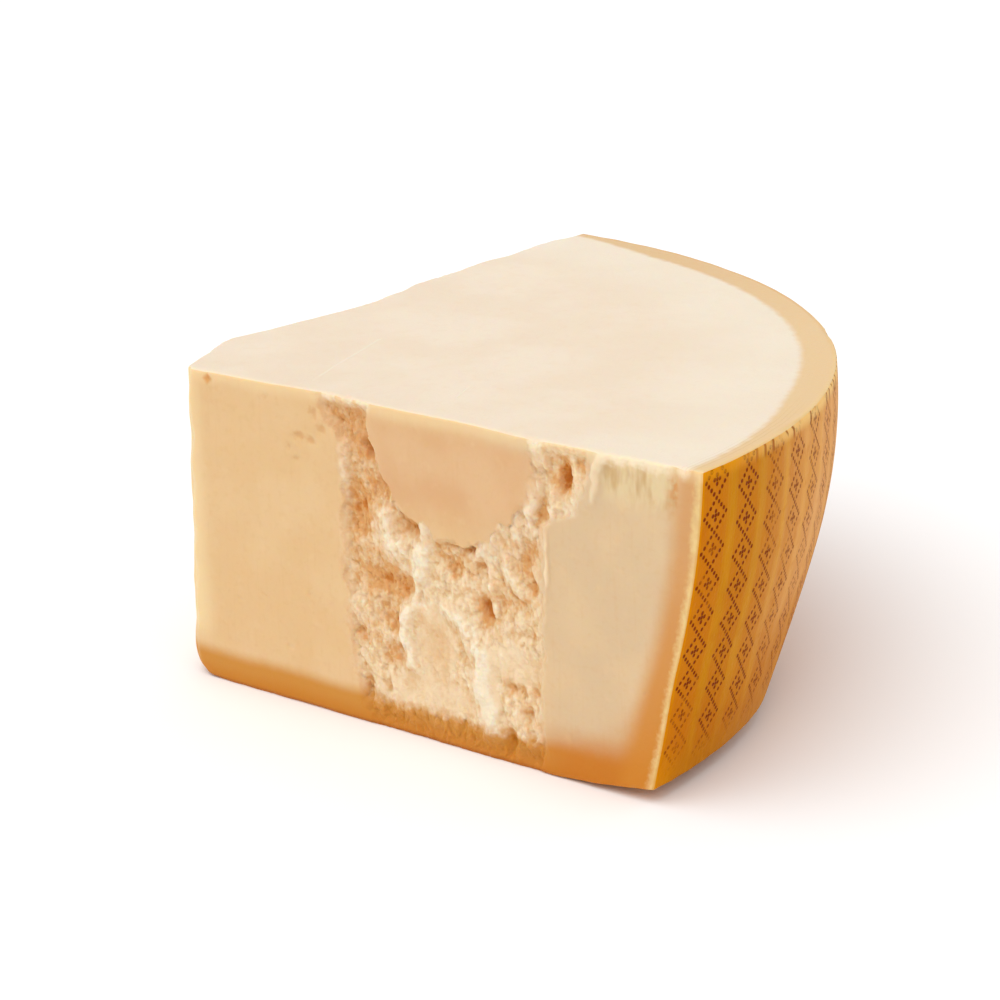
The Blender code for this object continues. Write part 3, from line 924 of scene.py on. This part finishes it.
def top_finish():
    """The sawn top: pale, smooth paste inside a tan band of rind."""
    finish, tree, shader = new_finish("sawn_top", roughness=0.42, gloss=0.25, glow=0.5)
    place, x, y, z = wheel_place(tree)
    angle = y.join("ARCTAN2", x)
    swell = (angle * 2.0).join("SINE") * -SWELL_TOP_LOSS
    inside = under_rind(x, y, z, swell)
    cloud = speckle(tree, place, 30.0)
    mottle = speckle(tree, place, 4.0, detail=3.0)
    fine = speckle(tree, place, 0.9)
    saw = speckle(tree, place, 1.6, stretch=(30.0, 1.0, 1.0))

    paste = blend(tree, cloud.from_to(0.35, 0.7), seen_as(244, 222, 194), seen_as(247, 228, 203))
    color = tinted(tree, paste, (
        (mottle.from_to(0.5, 0.75), 0.2, (240, 210, 174)),
        (inside.from_to(60, 20), 0.5, (248, 235, 212)),
    ))
    band = (angle.from_to(0.0, 0.45) * 6.0 + 5.0) * (angle.from_to(1.57, 1.3) * 0.6 + 0.4)
    band = band + (mottle - 0.5) * 2.0
    band_color = blend(tree, angle.from_to(0.7, 1.3), seen_as(237, 200, 146), seen_as(230, 190, 134))
    color = blend(tree, inside.from_to(band + 1.5, band - 1.5), color, band_color)
    edge_color = blend(tree, angle.from_to(0.5, 1.0), seen_as(240, 204, 136), seen_as(220, 160, 84))
    color = blend(tree, inside.from_to(2.2, 0.8) * 0.6, color, edge_color)

    saw_line = (inside * SAW_LINES_A_MILLIMETRE + (cloud - 0.5) * 1.5).join("FRACT") - 0.5
    saw_line = (saw_line.join("ABSOLUTE").from_to(0.12, 0.04) * angle.from_to(0.45, 0.1)
                * inside.from_to(9, 6))
    strayed = (cloud - 0.5) * 3.0
    scratch = line_gap(x + strayed, y, *SCRATCH).from_to(0.7, 0.2) * cloud.from_to(0.3, 0.45)
    nick = line_gap(x + strayed, y, *NICK).from_to(0.5, 0.1)
    scored = scratch.join("MAXIMUM", nick)
    color = tinted(tree, color, (
        (saw_line * inside.from_to(2, 3), 0.35, (206, 158, 100)),
        (scored, 0.5, (252, 240, 216)),
        # painted highlight: paler along the front edge of the top
        (y.from_to(-2.0, -5.0), 0.5, (250, 232, 198)),
    ))
    feed(tree, color, shader.inputs["Base Color"])
    add_bump(tree, shader, mottle * 0.12 + fine * 0.10 + saw * 0.08 - scored * 0.12)
    return finish


# The rind's dots lie in square cells, and each upright column of cells holds a chain of diamonds
RIND_START = 5.0
RIND_CELL = 1.3
CELLS_A_COLUMN = 13
DIAMOND_REACH = 4
DIAMOND_MIDDLE = DIAMOND_REACH + 1.0
CELLS_A_TICK = 4
DOT_RADIUS = 0.46


def rind_finish():
    """The rind: dry amber skin, pricked all over with chains of dotted diamonds."""
    finish, tree, shader = new_finish("rind", roughness=0.5, gloss=0.02, glow=0.15)
    place, x, y, z = wheel_place(tree)
    run = y.join("ARCTAN2", x) * TOP_RADIUS + RIND_START
    cloud = speckle(tree, place, 26.0)
    mottle = speckle(tree, place, 4.5, detail=3.0)
    fine = speckle(tree, place, 1.0)
    streaks = speckle(tree, place, 3.0, stretch=(1.0, 1.0, 20.0))

    cell_run = run / RIND_CELL + (mottle - 0.5) * 0.4
    column = (cell_run / CELLS_A_COLUMN).join("FLOOR")
    cell_rise = z / RIND_CELL + (cloud - 0.5) * 1.5 + column * DIAMOND_REACH
    column_cell = cell_run.join("FLOOR") - column * CELLS_A_COLUMN - DIAMOND_MIDDLE
    row_cell = cell_rise.join("FLOOR").join("FLOORED_MODULO", 2 * DIAMOND_REACH) - DIAMOND_REACH
    from_centre = column_cell.join("ABSOLUTE") + row_cell.join("ABSOLUTE")
    on_diamond = (from_centre.join("COMPARE", DIAMOND_REACH, 0.1)
                  + from_centre.join("LESS_THAN", 1.5))
    dot_x = cell_run.join("FRACT") - 0.5
    dot_y = cell_rise.join("FRACT") - 0.5
    from_dot = (dot_x * dot_x + dot_y * dot_y).join("SQRT")
    dot = from_dot.from_to(DOT_RADIUS + 0.12, DOT_RADIUS - 0.16)
    worn = (cloud * 0.6 + mottle * 0.4).from_to(0.36, 0.5) * 0.6 + 0.4
    pressed = dot * on_diamond * worn * z.from_to(6, 22)
    tick_x = (cell_run / CELLS_A_TICK).join("FRACT") - 0.5
    tick = tick_x.join("ABSOLUTE").from_to(0.17, 0.08) * z.from_to(98.0, 100.5) * run.from_to(12, 40)
    tick = tick * speckle(tree, place, 9.0, detail=0.0).from_to(0.4, 0.52)

    amber = seen_as(206, 128, 0, RIND_LIGHT)
    dull_amber = seen_as(192, 126, 16, RIND_LIGHT)
    low = (z + run * -0.25).from_to(34, 6) * run.from_to(0, 14)
    in_column = (column_cell.join("ABSOLUTE").from_to(6.0, 3.4) * z.from_to(6, 20)
                 * (run.from_to(80, 10) * 0.3 + 0.2))
    color = blend(tree, run.from_to(2, 20), amber, dull_amber)
    color = tinted(tree, color, (
        (run.from_to(22, 80), 1.0, (220, 160, 92)),
        (low, 0.7, (186, 110, 4)),
        (cloud.from_to(0.4, 0.7), 0.3, (212, 144, 20)),
        (mottle.from_to(0.5, 0.8), 0.35, (184, 100, 4)),
        (streaks.from_to(0.5, 0.75), 0.25, (220, 158, 34)),
        (in_column, 1.0, (188, 96, 8)),
        (pressed * (run.from_to(90, 20) * 0.3 + 0.6), 1.0, (120, 30, 0)),
    ), RIND_LIGHT)
    # the rim along the top is cream, paler towards the back: partly its own colour, partly painted light
    # where it faces up
    front_rim = seen_as(220, 144, 8, RIND_LIGHT)
    back_rim = seen_as(240, 200, 126, RIND_LIGHT)
    rim_color = blend(tree, run.from_to(10, 60), front_rim, back_rim)
    color = blend(tree, z.from_to(98.5, 102) * 0.7, color, rim_color)
    color = tinted(tree, color, ((tick, 0.75, (150, 70, 6)),), RIND_LIGHT)
    feed(tree, color, shader.inputs["Base Color"])
    add_bump(tree, shader, mottle * 0.4 + fine * 0.15 + streaks * 0.2 - pressed * 0.5 - tick * 0.4)
    return finish


chunk_mesh.materials.append(cut_finish())
chunk_mesh.materials.append(top_finish())
chunk_mesh.materials.append(rind_finish())

# The table
# A plain matt white board, far wider than the camera's view.
TABLE_SIZE = 8.0
TABLE_COLOR = (0.97, 0.97, 0.97, 1)
TABLE_ROUGHNESS = 0.9
bpy.ops.mesh.primitive_plane_add(size=TABLE_SIZE, location=(0, 0, 0))
table = bpy.context.object
table.name = "table"
table_finish = bpy.data.materials.new("white_table")
table_finish.use_nodes = True
table_shader = table_finish.node_tree.nodes["Principled BSDF"]
table_shader.inputs["Base Color"].default_value = TABLE_COLOR
table_shader.inputs["Roughness"].default_value = TABLE_ROUGHNESS
table.data.materials.append(table_finish)

# The light
# A white room with one large soft lamp high over the front of the chunk.
ROOM_STRENGTH = 0.82
world = bpy.data.worlds.new("studio")
world.use_nodes = True
world.node_tree.nodes["Background"].inputs["Color"].default_value = (1, 1, 1, 1)
world.node_tree.nodes["Background"].inputs["Strength"].default_value = ROOM_STRENGTH
bpy.context.scene.world = world


def soft_sun(name, elevation, azimuth, strength, spread):
    """A wide, even light from an elevation and a compass angle, 0 along +X and 90 along +Y."""
    lamp = bpy.data.lights.new(name, "SUN")
    lamp.energy = strength
    lamp.angle = math.radians(spread)
    lamp_object = bpy.data.objects.new(name, lamp)
    lamp_object.rotation_euler = (0.0, math.radians(90.0 - elevation), math.radians(azimuth))
    bpy.context.scene.collection.objects.link(lamp_object)


soft_sun("overhead", elevation=62.0, azimuth=-100.0, strength=1.2, spread=60.0)

# The camera
CAMERA_AZIMUTH = math.radians(39.38)
CAMERA_ELEVATION = math.radians(17.55)
CAMERA_ROLL = math.radians(-1.18)
CAMERA_DISTANCE = 0.9837
AIM = Vector((0.07405, 0.08012, 0.04727))
camera_data = bpy.data.cameras.new("camera")
camera_data.sensor_width = 36.0
camera_data.lens = 108.0
camera = bpy.data.objects.new("camera", camera_data)
turn_to_view = (Matrix.Rotation(CAMERA_AZIMUTH, 4, "Z")
                @ Matrix.Rotation(math.radians(90) - CAMERA_ELEVATION, 4, "X")
                @ Matrix.Rotation(CAMERA_ROLL, 4, "Z"))
camera.matrix_world = (Matrix.Translation(AIM - middle) @ turn_to_view
                       @ Matrix.Translation((0, 0, CAMERA_DISTANCE)))
bpy.context.scene.collection.objects.link(camera)
bpy.context.scene.camera = camera
bpy.context.scene.view_settings.view_transform = "Standard"
